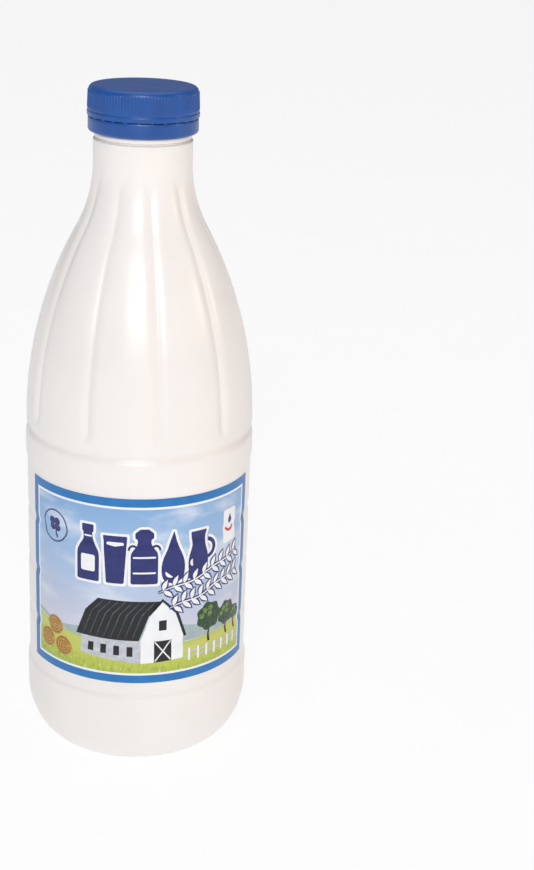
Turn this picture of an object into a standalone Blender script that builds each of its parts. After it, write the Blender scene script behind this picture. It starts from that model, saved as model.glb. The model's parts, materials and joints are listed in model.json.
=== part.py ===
# A round one litre milk bottle: a filled white polyethylene body with ten flutes on its shoulder,
# a blue screw cap, the tamper band below it, and a paper label on the front and the back.
# Units are metres and +Z is up. The origin is the middle of the base, and the front label faces -Y.
# An azimuth is an angle about +Z, measured from the front and positive towards +X.

from math import acos, atan2, cos, hypot, pi, radians, sin

import bmesh
import bpy

MM = 0.001
GAP = 0.3 * MM                   # clearance between neighbouring pieces

# Foot and heel
BASE_RADIUS = 43.05 * MM         # widest cylinder, just above the heel
BASE_TOP = 31.8 * MM
FOOT_RADIUS = 28.7 * MM          # outer edge of the flat standing ring
FOOT_INNER_RADIUS = 24.3 * MM
FOOT_HOLLOW = 3.4 * MM           # rise of the hollow inside the standing ring
HOLLOW_BEND_RADIUS = 14.6 * MM   # where the hollow levels out
HOLLOW_BEND_RISE = 2.7 * MM
HEEL_HEIGHT = 21.0 * MM

# Label panel and its three ribs
PANEL_RADIUS = 42.4 * MM
PANEL_BOTTOM = 33.3 * MM
PANEL_TOP = 116.2 * MM
RIB_HEIGHTS = (54.2 * MM, 74.9 * MM, 95.6 * MM)
RIB_DEPTH = 0.6 * MM
RIB_HALF_WIDTH = 2.9 * MM

# Bumper band above the panel, and the groove that parts it from the shoulder
BUMPER_RADIUS = 42.95 * MM
BUMPER_BOTTOM = 117.6 * MM
BUMPER_TOP = 125.9 * MM
GROOVE_HEIGHT = 127.8 * MM
GROOVE_RADIUS = 41.6 * MM

# Shoulder: a long convex arc that runs into a concave arc at the neck
SHOULDER_RADIUS = 42.62 * MM
SHOULDER_BOTTOM = 130.0 * MM
SHOULDER_ARC = 153.0 * MM
NECK_ARC = 50.0 * MM
NECK_RADIUS = 17.9 * MM

# Flutes pressed into the shoulder between ten petals
FLUTE_COUNT = 10
FLUTE_AZIMUTH = radians(7.2)     # the flute nearest to the front
FLUTE_DEPTH = 1.3 * MM
FLUTE_NECK_DEPTH = 0.8 * MM      # depth where the petals reach the neck
FLUTE_HALF_WIDTH = 4.0 * MM
FLUTE_FOOT = 131.5 * MM          # the flutes fade in above this height
FLUTE_FADE = 5.0 * MM

# Neck top, bead and the finish inside the cap
NECK_TOP = 234.8 * MM
CREASE_HEIGHT = 235.4 * MM
CREASE_RADIUS = 17.0 * MM
BEAD_BOTTOM = 235.9 * MM
BEAD_RADIUS = 17.5 * MM
BEAD_TOP = 237.6 * MM
FINISH_RADIUS = 16.8 * MM
FINISH_TOP = 251.6 * MM
FINISH_EDGE = 0.8 * MM

# Screw cap and tamper band
CAP_TOP = 254.0 * MM
CAP_BOTTOM = 243.4 * MM
CAP_RADIUS = 19.85 * MM
CAP_TOP_RADIUS = 19.6 * MM       # the skirt draws in slightly towards the top
CAP_EDGE = 1.9 * MM              # rounding of the top edge
CAP_LIP_RADIUS = 20.1 * MM
CAP_LIP_TOP = 245.3 * MM
CAP_BORE = 17.2 * MM             # clears the bottle's finish
CAP_ROOF = FINISH_TOP + GAP      # underside of the cap's top
BAND_TOP = CAP_BOTTOM - GAP
BAND_BOTTOM = 237.8 * MM
BAND_RADIUS = 19.8 * MM
BAND_CHAMFER = 0.6 * MM
BAND_EDGE_TOP = 241.6 * MM       # above this height the band draws in to meet the cap's lip
BAND_TOP_RADIUS = 19.7 * MM

# Labels
LABEL_WIDTH = 100.0 * MM         # measured round the bottle
LABEL_BOTTOM = 38.5 * MM
LABEL_TOP = 112.9 * MM
LABEL_THICKNESS = 0.2 * MM
LABEL_RADIUS = PANEL_RADIUS + GAP

# Facets
BODY_STEPS = 80                  # a multiple of FLUTE_COUNT, so that each flute has a row of points
CAP_STEPS = 60
LABEL_STEPS = 32
HEEL_STEPS = 5
SHOULDER_STEPS = 9
NECK_ARC_STEPS = 4
EDGE_STEPS = 3
MERGE = 0.05 * MM
SHARP_ANGLE = radians(40.0)

# Finishes: colour and roughness
WHITE_PLASTIC = (0.86, 0.85, 0.83), 0.3
BLUE_PLASTIC = (0.025, 0.105, 0.36), 0.35
LABEL_PAPER = (0.35, 0.52, 0.75), 0.4

FULL_TURN = 2.0 * pi
QUARTER_TURN = 0.5 * pi


def clear_scene():
    for item in list(bpy.data.objects):
        bpy.data.objects.remove(item, do_unlink=True)


def new_collection(name):
    collection = bpy.data.collections.new(name)
    bpy.context.scene.collection.children.link(collection)
    return collection


def finish(name, color, roughness):
    material = bpy.data.materials.new(name)
    material.use_nodes = True
    shader = material.node_tree.nodes["Principled BSDF"]
    shader.inputs["Base Color"].default_value = (*color, 1.0)
    shader.inputs["Roughness"].default_value = roughness
    shader.inputs["Metallic"].default_value = 0.0
    return material


def smoothstep(value):
    value = min(max(value, 0.0), 1.0)
    return value * value * (3.0 - 2.0 * value)


def turned(name, profile, steps, collection, angle=FULL_TURN):
    """A profile of (radius, height) points, listed down the outer side, turned about +Z."""
    mesh = bpy.data.meshes.new(name)
    points = [(radius, 0.0, height) for radius, height in profile]
    mesh.from_pydata(points, [(i, i + 1) for i in range(len(points) - 1)], [])
    piece = bpy.data.objects.new(name, mesh)
    collection.objects.link(piece)
    screw = piece.modifiers.new("turn", "SCREW")
    screw.axis = "Z"
    screw.angle = angle
    screw.steps = steps
    screw.render_steps = steps
    screw.use_merge_vertices = angle == FULL_TURN
    screw.merge_threshold = MERGE
    screw.use_smooth_shade = True
    return piece


def made_mesh(piece):
    """Replaces an object's mesh with its evaluated one and drops its modifiers."""
    bpy.context.view_layer.update()
    evaluated = piece.evaluated_get(bpy.context.evaluated_depsgraph_get())
    mesh = bpy.data.meshes.new_from_object(evaluated)
    old = piece.data
    piece.modifiers.clear()
    piece.data = mesh
    bpy.data.meshes.remove(old)
    mesh.name = piece.name


def rib(height):
    return [
        (PANEL_RADIUS, height + RIB_HALF_WIDTH),
        (PANEL_RADIUS - RIB_DEPTH, height),
        (PANEL_RADIUS, height - RIB_HALF_WIDTH),
    ]


def shoulder_profile():
    """Both arcs turn through the same angle, so that they meet smoothly and end upright."""
    turn = acos(1.0 - (SHOULDER_RADIUS - NECK_RADIUS) / (SHOULDER_ARC + NECK_ARC))
    neck_start = SHOULDER_BOTTOM + (SHOULDER_ARC + NECK_ARC) * sin(turn)
    points = []
    for step in range(NECK_ARC_STEPS):
        angle = turn * step / NECK_ARC_STEPS
        radius = NECK_RADIUS + NECK_ARC * (1.0 - cos(angle))
        points.append((radius, neck_start - NECK_ARC * sin(angle)))
    for step in range(SHOULDER_STEPS + 1):
        angle = turn * (1.0 - step / SHOULDER_STEPS)
        radius = SHOULDER_RADIUS - SHOULDER_ARC * (1.0 - cos(angle))
        points.append((radius, SHOULDER_BOTTOM + SHOULDER_ARC * sin(angle)))
    return points


def heel_profile():
    """A quarter of an ellipse, from the base's cylinder down to the standing ring."""
    points = []
    for step in range(HEEL_STEPS + 1):
        angle = QUARTER_TURN * step / HEEL_STEPS
        radius = FOOT_RADIUS + (BASE_RADIUS - FOOT_RADIUS) * cos(angle)
        points.append((radius, HEEL_HEIGHT * (1.0 - sin(angle))))
    return points


def bottle_profile():
    points = [
        (0.0, FINISH_TOP),
        (FINISH_RADIUS - FINISH_EDGE, FINISH_TOP),
        (FINISH_RADIUS, FINISH_TOP - FINISH_EDGE),
        (FINISH_RADIUS, BEAD_TOP),
        (BEAD_RADIUS, BEAD_BOTTOM),
        (CREASE_RADIUS, CREASE_HEIGHT),
        (NECK_RADIUS, NECK_TOP),
    ]
    points += shoulder_profile()
    points += [(GROOVE_RADIUS, GROOVE_HEIGHT), (BUMPER_RADIUS, BUMPER_TOP), (BUMPER_RADIUS, BUMPER_BOTTOM)]
    points.append((PANEL_RADIUS, PANEL_TOP))
    for height in reversed(RIB_HEIGHTS):
        points += rib(height)
    points += [(PANEL_RADIUS, PANEL_BOTTOM), (BASE_RADIUS, BASE_TOP)]
    points += heel_profile()
    points += [(FOOT_INNER_RADIUS, 0.0), (HOLLOW_BEND_RADIUS, HOLLOW_BEND_RISE), (0.0, FOOT_HOLLOW)]
    return points


def flute_inset(angle, radius, height):
    """How far a flute presses in the shoulder, at an angle measured from a flute's middle."""
    pitch = FULL_TURN / FLUTE_COUNT
    beside = abs((angle + 0.5 * pitch) % pitch - 0.5 * pitch) * radius
    across = max(0.0, 1.0 - beside / FLUTE_HALF_WIDTH) ** 2
    fade = smoothstep((height - FLUTE_FOOT) / FLUTE_FADE)
    rise = smoothstep((height - SHOULDER_BOTTOM) / (NECK_TOP - SHOULDER_BOTTOM))
    return across * fade * (FLUTE_DEPTH + (FLUTE_NECK_DEPTH - FLUTE_DEPTH) * rise)


def press_flutes(mesh):
    """Presses the flutes in, but never below the neck's cylinder, so that the petals end in arches."""
    shape = bmesh.new()
    shape.from_mesh(mesh)
    for vert in shape.verts:
        radius = hypot(vert.co.x, vert.co.y)
        if not SHOULDER_BOTTOM < vert.co.z < NECK_TOP or radius <= NECK_RADIUS:
            continue
        inset = flute_inset(atan2(vert.co.y, vert.co.x), radius, vert.co.z)
        scale = max(NECK_RADIUS, radius - inset) / radius
        vert.co.x *= scale
        vert.co.y *= scale
    shape.to_mesh(mesh)
    shape.free()


def make_bottle(collection, material):
    bottle = turned("bottle", bottle_profile(), BODY_STEPS, collection)
    made_mesh(bottle)
    press_flutes(bottle.data)
    bottle.data.set_sharp_from_angle(angle=SHARP_ANGLE)
    bottle.rotation_euler.z = FLUTE_AZIMUTH - QUARTER_TURN
    bottle.data.materials.append(material)
    return bottle


def cap_profile():
    points = [(0.0, CAP_TOP)]
    for step in range(EDGE_STEPS + 1):
        angle = QUARTER_TURN * step / EDGE_STEPS
        radius = CAP_TOP_RADIUS - CAP_EDGE * (1.0 - sin(angle))
        points.append((radius, CAP_TOP - CAP_EDGE * (1.0 - cos(angle))))
    points += [(CAP_RADIUS, CAP_LIP_TOP), (CAP_LIP_RADIUS, CAP_LIP_TOP), (CAP_LIP_RADIUS, CAP_BOTTOM)]
    points += [(CAP_BORE, CAP_BOTTOM), (CAP_BORE, CAP_ROOF), (0.0, CAP_ROOF)]
    return points


def make_cap(collection, material):
    cap = turned("cap", cap_profile(), CAP_STEPS, collection)
    cap.data.materials.append(material)
    return cap


def make_tamper_band(collection, material):
    profile = [
        (BAND_TOP_RADIUS, BAND_TOP),
        (BAND_RADIUS, BAND_EDGE_TOP),
        (BAND_RADIUS, BAND_BOTTOM + BAND_CHAMFER),
        (BAND_RADIUS - BAND_CHAMFER, BAND_BOTTOM),
        (CAP_BORE, BAND_BOTTOM),
        (CAP_BORE, BAND_TOP),
        (BAND_TOP_RADIUS, BAND_TOP),
    ]
    band = turned("tamper_band", profile, CAP_STEPS, collection)
    band.data.materials.append(material)
    return band


def make_label(name, azimuth, collection, material):
    """A sheet bent round the panel, its middle at the given azimuth."""
    angle = LABEL_WIDTH / LABEL_RADIUS
    profile = [(LABEL_RADIUS, LABEL_TOP), (LABEL_RADIUS, LABEL_BOTTOM)]
    label = turned(name, profile, LABEL_STEPS, collection, angle)
    label.rotation_euler.z = azimuth - QUARTER_TURN - 0.5 * angle
    sheet = label.modifiers.new("sheet", "SOLIDIFY")
    sheet.thickness = LABEL_THICKNESS
    sheet.offset = 1.0
    label.data.materials.append(material)
    return label


def main():
    clear_scene()
    collection = new_collection("milk_bottle")
    white = finish("white_polyethylene", *WHITE_PLASTIC)
    blue = finish("blue_polyethylene", *BLUE_PLASTIC)
    paper = finish("coated_label_paper", *LABEL_PAPER)
    make_bottle(collection, white)
    make_cap(collection, blue)
    make_tamper_band(collection, blue)
    make_label("label_front", 0.0, collection, paper)
    make_label("label_back", pi, collection, paper)


main()
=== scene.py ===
import json
from math import acos, ceil, cos, pi, radians, sin, sqrt

import bmesh
import bpy
from mathutils import Matrix, Vector

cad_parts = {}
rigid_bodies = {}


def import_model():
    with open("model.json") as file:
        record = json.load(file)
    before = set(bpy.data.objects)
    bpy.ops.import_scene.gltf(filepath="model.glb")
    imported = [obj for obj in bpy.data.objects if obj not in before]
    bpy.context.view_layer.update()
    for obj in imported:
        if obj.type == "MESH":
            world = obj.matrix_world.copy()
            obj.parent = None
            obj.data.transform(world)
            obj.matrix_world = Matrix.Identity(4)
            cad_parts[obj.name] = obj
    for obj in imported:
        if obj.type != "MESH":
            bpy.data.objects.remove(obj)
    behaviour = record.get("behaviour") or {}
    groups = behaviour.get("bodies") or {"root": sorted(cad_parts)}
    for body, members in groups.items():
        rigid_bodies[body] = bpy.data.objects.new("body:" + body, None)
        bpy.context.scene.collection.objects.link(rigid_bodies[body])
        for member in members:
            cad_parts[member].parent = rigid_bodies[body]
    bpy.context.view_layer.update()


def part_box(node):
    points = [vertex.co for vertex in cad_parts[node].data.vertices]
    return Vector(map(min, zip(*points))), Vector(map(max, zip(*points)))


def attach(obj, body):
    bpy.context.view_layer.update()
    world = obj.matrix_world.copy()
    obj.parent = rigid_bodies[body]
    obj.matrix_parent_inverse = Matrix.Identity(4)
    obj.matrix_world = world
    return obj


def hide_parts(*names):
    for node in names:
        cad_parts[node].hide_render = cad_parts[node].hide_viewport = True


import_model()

# A one litre milk bottle: fluted white body, blue screw cap over its tamper ring, picture labels.
# Sizes are in millimetres, and the meshes in metres. The front label faces -Y.
mm = 0.001
fullTurn = 2 * pi
body = "root"


# helpers

def linear(hexColor):
    channels = [int(hexColor[i:i + 2], 16) / 255 for i in (1, 3, 5)]
    return [c / 12.92 if c <= 0.04045 else ((c + 0.055) / 1.055) ** 2.4 for c in channels] + [1.0]


def put(tree, kind, feeds, **settings):
    # adds a node; what feeds a socket is another socket, a node (its first output in use) or a plain value
    node = tree.nodes.new(kind)
    for name, value in settings.items():
        setattr(node, name, value)
    for socket, value in feeds.items():
        if isinstance(value, bpy.types.Node):
            value = next(output for output in value.outputs if output.enabled)
        if isinstance(value, bpy.types.NodeSocket):
            tree.links.new(value, node.inputs[socket])
        else:
            node.inputs[socket].default_value = value
    return node


def newMaterial(name):
    material = bpy.data.materials.new(name)
    material.use_nodes = True
    tree = material.node_tree
    return material, tree, tree.nodes["Principled BSDF"]


def setRamp(node, stops):
    ramp = node.color_ramp
    while len(ramp.elements) > 1:
        ramp.elements.remove(ramp.elements[-1])
    ramp.elements[0].position = stops[0][0]
    ramp.elements[0].color = linear(stops[0][1])
    for place, hexColor in stops[1:]:
        ramp.elements.new(place).color = linear(hexColor)
    return node


def startTree(name, inputs):
    # a geometry tree whose first input is its geometry; returns it with its input and output nodes
    tree = bpy.data.node_groups.new(name, "GeometryNodeTree")
    tree.is_modifier = True
    tree.interface.new_socket("Geometry", in_out="INPUT", socket_type="NodeSocketGeometry")
    for title, kind in inputs.items():
        tree.interface.new_socket(title, in_out="INPUT", socket_type="NodeSocket" + kind)
    tree.interface.new_socket("Geometry", in_out="OUTPUT", socket_type="NodeSocketGeometry")
    return tree, tree.nodes.new("NodeGroupInput"), tree.nodes.new("NodeGroupOutput")


def endTree(tree, geometry, given, out):
    real = put(tree, "GeometryNodeRealizeInstances", {"Geometry": geometry})
    smooth = put(tree, "GeometryNodeSetShadeSmooth", {"Geometry": real})
    painted = put(tree, "GeometryNodeSetMaterial", {"Geometry": smooth, "Material": given.outputs["Material"]})
    tree.links.new(painted.outputs[0], out.inputs[0])


def growPiece(name, mesh, tree, values):
    # runs a geometry tree on a mesh, and keeps the result as a plain mesh
    source = bpy.data.objects.new(name + "_source", mesh)
    bpy.context.scene.collection.objects.link(source)
    grower = source.modifiers.new(tree.name, "NODES")
    grower.node_group = tree
    sockets = {item.name: item.identifier for item in tree.interface.items_tree if item.in_out == "INPUT"}
    for title, value in values.items():
        grower[sockets[title]] = value
    bpy.context.view_layer.update()
    made = bpy.data.meshes.new_from_object(source.evaluated_get(bpy.context.evaluated_depsgraph_get()))
    bpy.data.objects.remove(source)
    return newPiece(name, made)


def newPiece(name, mesh):
    mesh.name = name
    piece = bpy.data.objects.new(name, mesh)
    bpy.context.scene.collection.objects.link(piece)
    return piece


def rideAs(piece, slot, *nodes):
    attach(piece, body)
    if nodes:
        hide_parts(*nodes)


def lineMesh(name, points):
    # an open line of points, in millimetres, across (x) and up (z)
    mesh = bpy.data.meshes.new(name)
    mesh.from_pydata([(x * mm, 0, z * mm) for x, z in points], [(i, i + 1) for i in range(len(points) - 1)], [])
    return mesh


def rounded(corners, steps=4, closed=False):
    # corners are (x, z, how far from the corner its rounding starts); the rounding is a parabola's arc
    points = []
    last = len(corners) - 1
    for i, (x, z, reach) in enumerate(corners):
        here = Vector((x, z))
        if reach == 0 or (not closed and i in (0, last)):
            points.append(tuple(here))
            continue
        back = Vector(corners[i - 1][:2]) - here
        onward = Vector(corners[(i + 1) % len(corners)][:2]) - here
        start = here + back.normalized() * min(reach, 0.49 * back.length)
        end = here + onward.normalized() * min(reach, 0.49 * onward.length)
        for step in range(steps + 1):
            t = step / steps
            points.append(tuple((1 - t) ** 2 * start + 2 * t * (1 - t) * here + t * t * end))
    return points


def turnedGrid(tree, given, crowding=None, count=None):
    # one column of the grid for each step round the axis, and one row for each point of the outline;
    # crowding draws the columns together round every flute or rib
    outline = given.outputs["Geometry"]
    points = put(tree, "GeometryNodeAttributeDomainSize", {"Geometry": outline})
    columns = put(tree, "ShaderNodeMath", {0: given.outputs["Columns"], 1: 1.0})
    grid = put(tree, "GeometryNodeMeshGrid", {"Size X": 1.0, "Size Y": 1.0, "Vertices X": columns,
                                              "Vertices Y": points.outputs["Point Count"]})
    place = put(tree, "ShaderNodeSeparateXYZ", {0: put(tree, "GeometryNodeInputPosition", {})})
    share = put(tree, "ShaderNodeMath", {0: place.outputs["X"], 1: 0.5})
    phase = put(tree, "ShaderNodeMath", {0: share, 1: count}, operation="MULTIPLY")
    wave = put(tree, "ShaderNodeMath", {0: phase, 1: fullTurn}, operation="MULTIPLY")
    swing = put(tree, "ShaderNodeMath", {0: wave}, operation="SINE")
    pull = put(tree, "ShaderNodeMath", {0: swing, 1: crowding}, operation="MULTIPLY")
    angle = put(tree, "ShaderNodeMath", {0: wave, 1: pull}, operation="SUBTRACT")
    turn = put(tree, "ShaderNodeMath", {0: angle, 1: count}, operation="DIVIDE")
    down = put(tree, "ShaderNodeMath", {0: place.outputs["Y"], 1: 0.5})
    lastRow = put(tree, "ShaderNodeMath", {0: points.outputs["Point Count"], 1: 1.0}, operation="SUBTRACT")
    row = put(tree, "ShaderNodeMath", {0: down, 1: lastRow}, operation="MULTIPLY")
    nearest = put(tree, "ShaderNodeMath", {0: row}, operation="ROUND")
    outlinePlace = put(tree, "GeometryNodeInputPosition", {})
    spot = put(tree, "GeometryNodeSampleIndex", {"Geometry": outline, "Value": outlinePlace, "Index": nearest},
               data_type="FLOAT_VECTOR")
    parts = put(tree, "ShaderNodeSeparateXYZ", {0: spot})
    return grid, turn.outputs[0], parts.outputs["X"], parts.outputs["Z"]


def besideRepeat(tree, turn, radius, count):
    # how far a point lies from the nearest flute or rib, measured round the piece
    pitch = put(tree, "ShaderNodeMath", {0: pi, 1: count}, operation="DIVIDE")
    away = put(tree, "ShaderNodeMath", {0: turn, 1: pitch}, operation="PINGPONG")
    return put(tree, "ShaderNodeMath", {0: away, 1: radius}, operation="MULTIPLY")


def turnedSurface(tree, grid, turn, first, radius, height):
    # puts the grid's points round the axis, closes its seam and poles, and turns its faces outwards
    angle = put(tree, "ShaderNodeMath", {0: turn, 1: first})
    x = put(tree, "ShaderNodeMath", {0: put(tree, "ShaderNodeMath", {0: angle}, operation="COSINE"), 1: radius},
            operation="MULTIPLY")
    y = put(tree, "ShaderNodeMath", {0: put(tree, "ShaderNodeMath", {0: angle}, operation="SINE"), 1: radius},
            operation="MULTIPLY")
    place = put(tree, "ShaderNodeCombineXYZ", {"X": x, "Y": y, "Z": height})
    placed = put(tree, "GeometryNodeSetPosition", {"Geometry": grid, "Position": place})
    closed = put(tree, "GeometryNodeMergeByDistance", {"Geometry": placed, "Distance": 0.004 * mm})
    return put(tree, "GeometryNodeFlipFaces", {"Mesh": closed})


# bottle body

bottle = {
    "finishRadius": 16.8,      # the threaded finish inside the cap
    "beadRadius": 17.5, "beadTop": 237.6, "beadBottom": 235.9,
    "creaseRadius": 16.5, "creaseHeight": 235.45,
    "neckRadius": 17.9, "neckTop": 235.0,
    "neckStep": 231.3, "neckStepDepth": 0.1,
    "shoulderRadius": 42.62, "shoulderBottom": 130.0, "shoulderArc": 153.0, "neckArc": 50.0,
    "grooveRadius": 41.6, "grooveHeight": 127.8,
    "bumperRadius": 42.95, "bumperTop": 125.9, "bumperBottom": 117.6,
    "panelRadius": 42.4, "panelTop": 116.2, "panelBottom": 33.3,
    "ribHeights": (54.2, 74.9, 95.6), "ribDepth": 0.6, "ribHalfWidth": 2.9,
    "baseRadius": 43.05, "baseTop": 31.8, "heelHeight": 21.0,
    "footRadius": 28.7, "footInner": 24.3, "hollowRise": 3.4,
}
fluteValues = {
    "Columns": 320,
    "Crowding": 0.75,
    "Flute Count": 10,
    "First Flute": radians(7.2 - 90),
    "Flute Depth": 1.3 * mm,
    "Neck Depth": 0.8 * mm,
    "Half Width": 4.0 * mm,
    "Crease Softness": 0.35 * mm,
    "Foot": 131.5 * mm,
    "Fade": 5.0 * mm,
    "Shoulder Bottom": bottle["shoulderBottom"] * mm,
    "Neck Top": bottle["neckTop"] * mm,
    "Neck Radius": bottle["neckRadius"] * mm,
    "Arch Softness": 0.15 * mm,
}


def shoulderRadius(height):
    # a long convex arc that runs into a concave arc at the neck
    drop = bottle["shoulderRadius"] - bottle["neckRadius"]
    turn = acos(1 - drop / (bottle["shoulderArc"] + bottle["neckArc"]))
    neckStart = bottle["shoulderBottom"] + (bottle["shoulderArc"] + bottle["neckArc"]) * sin(turn)
    if height > neckStart:
        return bottle["neckRadius"]
    if height > neckStart - bottle["neckArc"] * sin(turn):
        arc = bottle["neckArc"]
        return bottle["neckRadius"] + arc - sqrt(arc ** 2 - (neckStart - height) ** 2)
    arc = bottle["shoulderArc"]
    return bottle["shoulderRadius"] - arc + sqrt(arc ** 2 - (height - bottle["shoulderBottom"]) ** 2)


def ribDip(height):
    # how deep the panel's ribs press in at a height, 0 to 1
    half = bottle["ribHalfWidth"]
    beside = min(abs(height - rib) for rib in bottle["ribHeights"])
    return 0.5 + 0.5 * cos(pi * beside / half) if beside < half else 0.0


def panelRows():
    heights = [bottle["panelTop"]]
    while heights[-1] > bottle["panelBottom"]:
        beside = min(abs(heights[-1] - rib) for rib in bottle["ribHeights"])
        heights.append(max(bottle["panelBottom"], heights[-1] - (0.5 if beside < 4 else 2.0)))
    return heights


def bottleOutline():
    b = bottle
    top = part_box("bottle")[1].z / mm
    neckBelow = b["neckRadius"] - b["neckStepDepth"]
    points = rounded([
        (0, top, 0), (b["finishRadius"], top, 0.8), (b["finishRadius"], b["beadTop"], 0.2),
        (b["beadRadius"], b["beadTop"] - 0.3, 0.3), (b["beadRadius"], b["beadBottom"], 0.35),
        (b["creaseRadius"], b["creaseHeight"] + 0.12, 0.1), (b["creaseRadius"], b["creaseHeight"] - 0.12, 0.1),
        (b["neckRadius"], b["neckTop"], 0.35), (b["neckRadius"], b["neckStep"] + 0.5, 0.3),
        (neckBelow, b["neckStep"], 0.3), (neckBelow, b["neckStep"] - 1.5, 0),
    ])
    height = points[-1][1] - 0.6
    while height > b["shoulderBottom"] + 0.5:     # short steps where the petals' arches and the flutes' feet are
        points.append((shoulderRadius(height), height))
        height -= 0.45 if height > 212 else 1.5 if height > 140 else 0.6
    points += rounded([
        (shoulderRadius(b["shoulderBottom"] + 0.5), b["shoulderBottom"] + 0.5, 0),
        (b["shoulderRadius"], b["shoulderBottom"] - 0.3, 1.0), (b["grooveRadius"], b["grooveHeight"], 0.7),
        (b["bumperRadius"], b["bumperTop"], 1.1), (b["bumperRadius"] + 0.05, 121.8, 2.0),
        (b["bumperRadius"], b["bumperBottom"], 0.7), (b["panelRadius"], b["panelTop"] + 0.1, 0.4),
        (b["panelRadius"], b["panelTop"] - 0.8, 0),
    ], steps=5)
    points += [(b["panelRadius"] - b["ribDepth"] * ribDip(h), h) for h in panelRows()[1:-1]]
    points += rounded([
        (b["panelRadius"], b["panelBottom"] + 0.8, 0), (b["panelRadius"], b["panelBottom"], 0.5),
        (b["baseRadius"], b["baseTop"], 0.7), (b["baseRadius"], b["baseTop"] - 3, 0),
    ])
    heelSteps = 26
    for step in range(heelSteps):
        angle = 0.5 * pi * step / heelSteps
        radius = b["footRadius"] + (b["baseRadius"] - b["footRadius"]) * cos(angle)
        points.append((radius, b["heelHeight"] * (1 - sin(angle))))
    points += rounded([
        (b["footRadius"], 0, 0), (b["footInner"], 0, 1.2), (0.7 * b["footInner"], 0.75 * b["hollowRise"], 4.0),
        (0.3 * b["footInner"], b["hollowRise"], 2.0), (0, b["hollowRise"], 0),
    ])
    return points


def fluteTree():
    tree, given, out = startTree("flutedBody", {
        "Columns": "Int", "Crowding": "Float", "Flute Count": "Int", "First Flute": "Float",
        "Flute Depth": "Float", "Neck Depth": "Float", "Half Width": "Float", "Crease Softness": "Float",
        "Foot": "Float", "Fade": "Float", "Shoulder Bottom": "Float", "Neck Top": "Float",
        "Neck Radius": "Float", "Arch Softness": "Float", "Material": "Material"})
    value = given.outputs
    grid, turn, radius, height = turnedGrid(tree, given, value["Crowding"], value["Flute Count"])
    beside = besideRepeat(tree, turn, radius, value["Flute Count"])
    soft = put(tree, "ShaderNodeMath", {0: beside, 1: value["Crease Softness"], 2: value["Crease Softness"]},
               operation="SMOOTH_MAX")
    across = put(tree, "ShaderNodeMapRange", {"Value": soft, "From Min": 0.0, "From Max": value["Half Width"],
                                              "To Min": 1.0, "To Max": 0.0})
    rolled = put(tree, "ShaderNodeMath", {0: across, 1: 2.0}, operation="POWER")
    footTop = put(tree, "ShaderNodeMath", {0: value["Foot"], 1: value["Fade"]})
    shown = put(tree, "ShaderNodeMapRange", {"Value": height, "From Min": value["Foot"], "From Max": footTop},
                interpolation_type="SMOOTHSTEP")
    depth = put(tree, "ShaderNodeMapRange", {"Value": height, "From Min": value["Shoulder Bottom"],
                                             "From Max": value["Neck Top"], "To Min": value["Flute Depth"],
                                             "To Max": value["Neck Depth"]}, interpolation_type="SMOOTHSTEP")
    strength = put(tree, "ShaderNodeMath", {0: shown, 1: depth}, operation="MULTIPLY")
    inset = put(tree, "ShaderNodeMath", {0: rolled, 1: strength}, operation="MULTIPLY")
    pressed = put(tree, "ShaderNodeMath", {0: radius, 1: inset}, operation="SUBTRACT")
    arched = put(tree, "ShaderNodeMath", {0: pressed, 1: value["Neck Radius"], 2: value["Arch Softness"]},
                 operation="SMOOTH_MAX")
    onShoulder = put(tree, "ShaderNodeMath", {0: height, 1: value["Foot"]}, operation="GREATER_THAN")
    belowNeck = put(tree, "ShaderNodeMath", {0: height, 1: value["Neck Top"]}, operation="LESS_THAN")
    fluted = put(tree, "ShaderNodeMath", {0: onShoulder, 1: belowNeck}, operation="MULTIPLY")
    final = put(tree, "ShaderNodeMix", {"Factor": fluted, "A": radius, "B": arched})
    surface = turnedSurface(tree, grid, turn, value["First Flute"], final, height)
    endTree(tree, surface, given, out)
    return tree


def whitePolyethylene():
    # white pigmented HDPE, blow moulded: a soft gloss, a faint orange peel, and a little light in the wall
    material, tree, shader = newMaterial("blowMouldedWhitePolyethylene")
    place = put(tree, "ShaderNodeTexCoord", {}).outputs["Object"]
    clouding = put(tree, "ShaderNodeTexNoise", {"Vector": place, "Scale": 1 / (35 * mm), "Detail": 3.0})
    tone = setRamp(put(tree, "ShaderNodeValToRGB", {0: clouding.outputs[0]}), [(0.3, "#f1edea"), (0.7, "#f6f3f1")])
    peel = put(tree, "ShaderNodeTexNoise", {"Vector": place, "Scale": 1 / (2.2 * mm), "Detail": 1.5})
    skin = put(tree, "ShaderNodeBump", {"Height": peel.outputs[0], "Strength": 0.06, "Distance": 0.15 * mm})
    gloss = put(tree, "ShaderNodeMapRange", {"Value": clouding.outputs[0], "From Min": 0.3, "From Max": 0.7,
                                             "To Min": 0.27, "To Max": 0.33})
    tree.links.new(tone.outputs[0], shader.inputs["Base Color"])
    tree.links.new(skin.outputs[0], shader.inputs["Normal"])
    tree.links.new(gloss.outputs[0], shader.inputs["Roughness"])
    shader.inputs["IOR"].default_value = 1.5
    shader.inputs["Subsurface Weight"].default_value = 0.12
    shader.inputs["Subsurface Radius"].default_value = (1.0, 0.9, 0.8)
    shader.inputs["Subsurface Scale"].default_value = 1.5 * mm
    return material


whitePlastic = whitePolyethylene()
bottleBody = growPiece("bottle_body", lineMesh("bottle_outline", bottleOutline()), fluteTree(),
                       {**fluteValues, "Material": whitePlastic})
rideAs(bottleBody, "bottle", "bottle")
print("bottle body:", len(bottleBody.data.polygons), "faces")


# mould seams on the bottle

seams = {
    "azimuths": (97.2, -82.8),   # the mould's two halves part in the middle of two opposite petals
    "radius": 0.16, "sunk": 0.06, "top": 229.0, "bottom": 3.0, "sides": 8,
    "pinchRadius": 0.35, "pinchLength": 40.0,
}


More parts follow.
